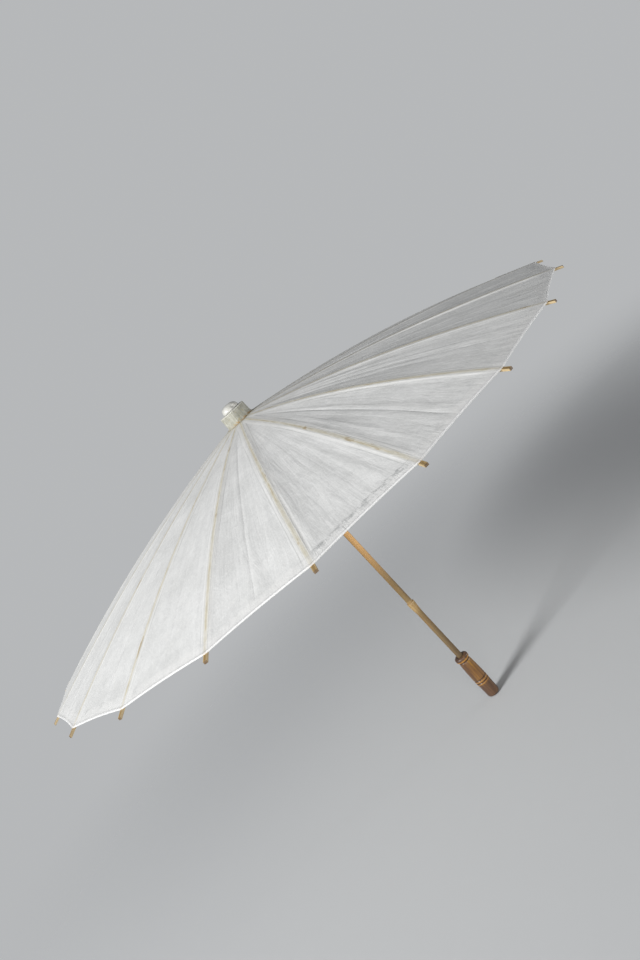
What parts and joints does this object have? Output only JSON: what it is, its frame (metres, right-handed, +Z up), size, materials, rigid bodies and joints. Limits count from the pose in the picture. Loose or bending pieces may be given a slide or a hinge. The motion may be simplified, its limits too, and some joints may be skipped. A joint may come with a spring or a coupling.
{
  "type": "oil paper umbrella",
  "caption": "Open oil paper umbrella: white paper canopy on bamboo ribs that fold with their stretchers and runner along a bamboo shaft with a turned wooden handle.",
  "frame": {"origin": "middle of the handle's straight gripping band, on the shaft's axis", "axes": "+Z up the shaft to the canopy's peak, +X along the first rib"},
  "size_m": [0.837, 0.837, 0.5373],
  "materials": {
    "paper": "satin",
    "bamboo": "satin",
    "stained_wood": "gloss",
    "plain_wood": "satin",
    "wrap": "matte",
    "button_white": "satin",
    "thread": "matte",
    "steel": "satin"
  },
  "bodies": {
    "root": {"canopy": "paper", "shaft": "bamboo", "hub": "plain_wood", "hub_thread": "thread", "collar": "wrap", "button": "button_white", "catch_pin": "steel", "catch_spring": "steel", "handle": "stained_wood"},
    "rib_01": {"rib_01": "bamboo"},
    "rib_02": {"rib_02": "bamboo"},
    "rib_03": {"rib_03": "bamboo"},
    "rib_04": {"rib_04": "bamboo"},
    "rib_05": {"rib_05": "bamboo"},
    "rib_06": {"rib_06": "bamboo"},
    "rib_07": {"rib_07": "bamboo"},
    "rib_08": {"rib_08": "bamboo"},
    "rib_09": {"rib_09": "bamboo"},
    "rib_10": {"rib_10": "bamboo"},
    "rib_11": {"rib_11": "bamboo"},
    "rib_12": {"rib_12": "bamboo"},
    "rib_13": {"rib_13": "bamboo"},
    "rib_14": {"rib_14": "bamboo"},
    "rib_15": {"rib_15": "bamboo"},
    "rib_16": {"rib_16": "bamboo"},
    "rib_17": {"rib_17": "bamboo"},
    "rib_18": {"rib_18": "bamboo"},
    "rib_19": {"rib_19": "bamboo"},
    "rib_20": {"rib_20": "bamboo"},
    "stretcher_01": {"stretcher_01": "bamboo"},
    "stretcher_02": {"stretcher_02": "bamboo"},
    "stretcher_03": {"stretcher_03": "bamboo"},
    "stretcher_04": {"stretcher_04": "bamboo"},
    "stretcher_05": {"stretcher_05": "bamboo"},
    "stretcher_06": {"stretcher_06": "bamboo"},
    "stretcher_07": {"stretcher_07": "bamboo"},
    "stretcher_08": {"stretcher_08": "bamboo"},
    "stretcher_09": {"stretcher_09": "bamboo"},
    "stretcher_10": {"stretcher_10": "bamboo"},
    "stretcher_11": {"stretcher_11": "bamboo"},
    "stretcher_12": {"stretcher_12": "bamboo"},
    "stretcher_13": {"stretcher_13": "bamboo"},
    "stretcher_14": {"stretcher_14": "bamboo"},
    "stretcher_15": {"stretcher_15": "bamboo"},
    "stretcher_16": {"stretcher_16": "bamboo"},
    "stretcher_17": {"stretcher_17": "bamboo"},
    "stretcher_18": {"stretcher_18": "bamboo"},
    "stretcher_19": {"stretcher_19": "bamboo"},
    "stretcher_20": {"stretcher_20": "bamboo"},
    "runner": {"runner": "plain_wood", "runner_thread": "thread"},
    "spring_catch": {"spring_catch": "bamboo"}
  },
  "joints": [
    {"name": "rib_01_fold", "type": "hinge", "parent": "root", "child": "rib_01", "pos_m": [0.013, 0, 0.4945], "axis": [0, 1, 0], "range_deg": [0, 74], "deforming": ["canopy", "spring_catch"]},
    {"name": "rib_02_fold", "type": "hinge", "parent": "root", "child": "rib_02", "pos_m": [0.01236, 0.00402, 0.4945], "axis": [-0.309, 0.9511, 0], "range_deg": [0, 74]},
    {"name": "rib_03_fold", "type": "hinge", "parent": "root", "child": "rib_03", "pos_m": [0.01052, 0.00764, 0.4945], "axis": [-0.5878, 0.809, 0], "range_deg": [0, 74]},
    {"name": "rib_04_fold", "type": "hinge", "parent": "root", "child": "rib_04", "pos_m": [0.00764, 0.01052, 0.4945], "axis": [-0.809, 0.5878, 0], "range_deg": [0, 74]},
    {"name": "rib_05_fold", "type": "hinge", "parent": "root", "child": "rib_05", "pos_m": [0.00402, 0.01236, 0.4945], "axis": [-0.9511, 0.309, 0], "range_deg": [0, 74]},
    {"name": "rib_06_fold", "type": "hinge", "parent": "root", "child": "rib_06", "pos_m": [0, 0.013, 0.4945], "axis": [-1, 0, 0], "range_deg": [0, 74]},
    {"name": "rib_07_fold", "type": "hinge", "parent": "root", "child": "rib_07", "pos_m": [-0.00402, 0.01236, 0.4945], "axis": [-0.9511, -0.309, 0], "range_deg": [0, 74]},
    {"name": "rib_08_fold", "type": "hinge", "parent": "root", "child": "rib_08", "pos_m": [-0.00764, 0.01052, 0.4945], "axis": [-0.809, -0.5878, 0], "range_deg": [0, 74]},
    {"name": "rib_09_fold", "type": "hinge", "parent": "root", "child": "rib_09", "pos_m": [-0.01052, 0.00764, 0.4945], "axis": [-0.5878, -0.809, 0], "range_deg": [0, 74]},
    {"name": "rib_10_fold", "type": "hinge", "parent": "root", "child": "rib_10", "pos_m": [-0.01236, 0.00402, 0.4945], "axis": [-0.309, -0.9511, 0], "range_deg": [0, 74]},
    {"name": "rib_11_fold", "type": "hinge", "parent": "root", "child": "rib_11", "pos_m": [-0.013, 0, 0.4945], "axis": [0, -1, 0], "range_deg": [0, 74]},
    {"name": "rib_12_fold", "type": "hinge", "parent": "root", "child": "rib_12", "pos_m": [-0.01236, -0.00402, 0.4945], "axis": [0.309, -0.9511, 0], "range_deg": [0, 74]},
    {"name": "rib_13_fold", "type": "hinge", "parent": "root", "child": "rib_13", "pos_m": [-0.01052, -0.00764, 0.4945], "axis": [0.5878, -0.809, 0], "range_deg": [0, 74]},
    {"name": "rib_14_fold", "type": "hinge", "parent": "root", "child": "rib_14", "pos_m": [-0.00764, -0.01052, 0.4945], "axis": [0.809, -0.5878, 0], "range_deg": [0, 74]},
    {"name": "rib_15_fold", "type": "hinge", "parent": "root", "child": "rib_15", "pos_m": [-0.00402, -0.01236, 0.4945], "axis": [0.9511, -0.309, 0], "range_deg": [0, 74]},
    {"name": "rib_16_fold", "type": "hinge", "parent": "root", "child": "rib_16", "pos_m": [0, -0.013, 0.4945], "axis": [1, 0, 0], "range_deg": [0, 74]},
    {"name": "rib_17_fold", "type": "hinge", "parent": "root", "child": "rib_17", "pos_m": [0.00402, -0.01236, 0.4945], "axis": [0.9511, 0.309, 0], "range_deg": [0, 74]},
    {"name": "rib_18_fold", "type": "hinge", "parent": "root", "child": "rib_18", "pos_m": [0.00764, -0.01052, 0.4945], "axis": [0.809, 0.5878, 0], "range_deg": [0, 74]},
    {"name": "rib_19_fold", "type": "hinge", "parent": "root", "child": "rib_19", "pos_m": [0.01052, -0.00764, 0.4945], "axis": [0.5878, 0.809, 0], "range_deg": [0, 74]},
    {"name": "rib_20_fold", "type": "hinge", "parent": "root", "child": "rib_20", "pos_m": [0.01236, -0.00402, 0.4945], "axis": [0.309, 0.9511, 0], "range_deg": [0, 74]},
    {"name": "stretcher_01_fold", "type": "hinge", "parent": "rib_01", "child": "stretcher_01", "pos_m": [0.16024, 0, 0.46588], "axis": [0, -1, 0], "range_deg": [0, 148]},
    {"name": "stretcher_02_fold", "type": "hinge", "parent": "rib_02", "child": "stretcher_02", "pos_m": [0.1524, 0.04952, 0.46588], "axis": [0.309, -0.9511, 0], "range_deg": [0, 148]},
    {"name": "stretcher_03_fold", "type": "hinge", "parent": "rib_03", "child": "stretcher_03", "pos_m": [0.12964, 0.09419, 0.46588], "axis": [0.5878, -0.809, 0], "range_deg": [0, 148]},
    {"name": "stretcher_04_fold", "type": "hinge", "parent": "rib_04", "child": "stretcher_04", "pos_m": [0.09419, 0.12964, 0.46588], "axis": [0.809, -0.5878, 0], "range_deg": [0, 148]},
    {"name": "stretcher_05_fold", "type": "hinge", "parent": "rib_05", "child": "stretcher_05", "pos_m": [0.04952, 0.1524, 0.46588], "axis": [0.9511, -0.309, 0], "range_deg": [0, 148]},
    {"name": "stretcher_06_fold", "type": "hinge", "parent": "rib_06", "child": "stretcher_06", "pos_m": [0, 0.16024, 0.46588], "axis": [1, 0, 0], "range_deg": [0, 148]},
    {"name": "stretcher_07_fold", "type": "hinge", "parent": "rib_07", "child": "stretcher_07", "pos_m": [-0.04952, 0.1524, 0.46588], "axis": [0.9511, 0.309, 0], "range_deg": [0, 148]},
    {"name": "stretcher_08_fold", "type": "hinge", "parent": "rib_08", "child": "stretcher_08", "pos_m": [-0.09419, 0.12964, 0.46588], "axis": [0.809, 0.5878, 0], "range_deg": [0, 148]},
    {"name": "stretcher_09_fold", "type": "hinge", "parent": "rib_09", "child": "stretcher_09", "pos_m": [-0.12964, 0.09419, 0.46588], "axis": [0.5878, 0.809, 0], "range_deg": [0, 148]},
    {"name": "stretcher_10_fold", "type": "hinge", "parent": "rib_10", "child": "stretcher_10", "pos_m": [-0.1524, 0.04952, 0.46588], "axis": [0.309, 0.9511, 0], "range_deg": [0, 148]},
    {"name": "stretcher_11_fold", "type": "hinge", "parent": "rib_11", "child": "stretcher_11", "pos_m": [-0.16024, 0, 0.46588], "axis": [0, 1, 0], "range_deg": [0, 148]},
    {"name": "stretcher_12_fold", "type": "hinge", "parent": "rib_12", "child": "stretcher_12", "pos_m": [-0.1524, -0.04952, 0.46588], "axis": [-0.309, 0.9511, 0], "range_deg": [0, 148]},
    {"name": "stretcher_13_fold", "type": "hinge", "parent": "rib_13", "child": "stretcher_13", "pos_m": [-0.12964, -0.09419, 0.46588], "axis": [-0.5878, 0.809, 0], "range_deg": [0, 148]},
    {"name": "stretcher_14_fold", "type": "hinge", "parent": "rib_14", "child": "stretcher_14", "pos_m": [-0.09419, -0.12964, 0.46588], "axis": [-0.809, 0.5878, 0], "range_deg": [0, 148]},
    {"name": "stretcher_15_fold", "type": "hinge", "parent": "rib_15", "child": "stretcher_15", "pos_m": [-0.04952, -0.1524, 0.46588], "axis": [-0.9511, 0.309, 0], "range_deg": [0, 148]},
    {"name": "stretcher_16_fold", "type": "hinge", "parent": "rib_16", "child": "stretcher_16", "pos_m": [0, -0.16024, 0.46588], "axis": [-1, 0, 0], "range_deg": [0, 148]},
    {"name": "stretcher_17_fold", "type": "hinge", "parent": "rib_17", "child": "stretcher_17", "pos_m": [0.04952, -0.1524, 0.46588], "axis": [-0.9511, -0.309, 0], "range_deg": [0, 148]},
    {"name": "stretcher_18_fold", "type": "hinge", "parent": "rib_18", "child": "stretcher_18", "pos_m": [0.09419, -0.12964, 0.46588], "axis": [-0.809, -0.5878, 0], "range_deg": [0, 148]},
    {"name": "stretcher_19_fold", "type": "hinge", "parent": "rib_19", "child": "stretcher_19", "pos_m": [0.12964, -0.09419, 0.46588], "axis": [-0.5878, -0.809, 0], "range_deg": [0, 148]},
    {"name": "stretcher_20_fold", "type": "hinge", "parent": "rib_20", "child": "stretcher_20", "pos_m": [0.1524, -0.04952, 0.46588], "axis": [-0.309, -0.9511, 0], "range_deg": [0, 148]},
    {"name": "runner_fold", "type": "hinge", "parent": "stretcher_01", "child": "runner", "pos_m": [0.013, 0, 0.43726], "axis": [0, 1, 0], "range_deg": [0, 74]},
    {"name": "catch_press", "type": "hinge", "parent": "root", "child": "spring_catch", "pos_m": [0.002, 0, 0.38776], "axis": [0, -1, 0], "range_deg": [0, 8], "stiffness_Nm_per_rad": 0.05, "springref_deg": -1.15, "deforming": ["catch_spring"]}
  ],
  "couplings": [
    {"joint": "rib_02_fold", "follows": "rib_01_fold", "ratio": 1},
    {"joint": "rib_03_fold", "follows": "rib_01_fold", "ratio": 1},
    {"joint": "rib_04_fold", "follows": "rib_01_fold", "ratio": 1},
    {"joint": "rib_05_fold", "follows": "rib_01_fold", "ratio": 1},
    {"joint": "rib_06_fold", "follows": "rib_01_fold", "ratio": 1},
    {"joint": "rib_07_fold", "follows": "rib_01_fold", "ratio": 1},
    {"joint": "rib_08_fold", "follows": "rib_01_fold", "ratio": 1},
    {"joint": "rib_09_fold", "follows": "rib_01_fold", "ratio": 1},
    {"joint": "rib_10_fold", "follows": "rib_01_fold", "ratio": 1},
    {"joint": "rib_11_fold", "follows": "rib_01_fold", "ratio": 1},
    {"joint": "rib_12_fold", "follows": "rib_01_fold", "ratio": 1},
    {"joint": "rib_13_fold", "follows": "rib_01_fold", "ratio": 1},
    {"joint": "rib_14_fold", "follows": "rib_01_fold", "ratio": 1},
    {"joint": "rib_15_fold", "follows": "rib_01_fold", "ratio": 1},
    {"joint": "rib_16_fold", "follows": "rib_01_fold", "ratio": 1},
    {"joint": "rib_17_fold", "follows": "rib_01_fold", "ratio": 1},
    {"joint": "rib_18_fold", "follows": "rib_01_fold", "ratio": 1},
    {"joint": "rib_19_fold", "follows": "rib_01_fold", "ratio": 1},
    {"joint": "rib_20_fold", "follows": "rib_01_fold", "ratio": 1},
    {"joint": "stretcher_01_fold", "follows": "rib_01_fold", "ratio": 2},
    {"joint": "stretcher_02_fold", "follows": "rib_01_fold", "ratio": 2},
    {"joint": "stretcher_03_fold", "follows": "rib_01_fold", "ratio": 2},
    {"joint": "stretcher_04_fold", "follows": "rib_01_fold", "ratio": 2},
    {"joint": "stretcher_05_fold", "follows": "rib_01_fold", "ratio": 2},
    {"joint": "stretcher_06_fold", "follows": "rib_01_fold", "ratio": 2},
    {"joint": "stretcher_07_fold", "follows": "rib_01_fold", "ratio": 2},
    {"joint": "stretcher_08_fold", "follows": "rib_01_fold", "ratio": 2},
    {"joint": "stretcher_09_fold", "follows": "rib_01_fold", "ratio": 2},
    {"joint": "stretcher_10_fold", "follows": "rib_01_fold", "ratio": 2},
    {"joint": "stretcher_11_fold", "follows": "rib_01_fold", "ratio": 2},
    {"joint": "stretcher_12_fold", "follows": "rib_01_fold", "ratio": 2},
    {"joint": "stretcher_13_fold", "follows": "rib_01_fold", "ratio": 2},
    {"joint": "stretcher_14_fold", "follows": "rib_01_fold", "ratio": 2},
    {"joint": "stretcher_15_fold", "follows": "rib_01_fold", "ratio": 2},
    {"joint": "stretcher_16_fold", "follows": "rib_01_fold", "ratio": 2},
    {"joint": "stretcher_17_fold", "follows": "rib_01_fold", "ratio": 2},
    {"joint": "stretcher_18_fold", "follows": "rib_01_fold", "ratio": 2},
    {"joint": "stretcher_19_fold", "follows": "rib_01_fold", "ratio": 2},
    {"joint": "stretcher_20_fold", "follows": "rib_01_fold", "ratio": 2},
    {"joint": "runner_fold", "follows": "rib_01_fold", "ratio": 1}
  ]
}
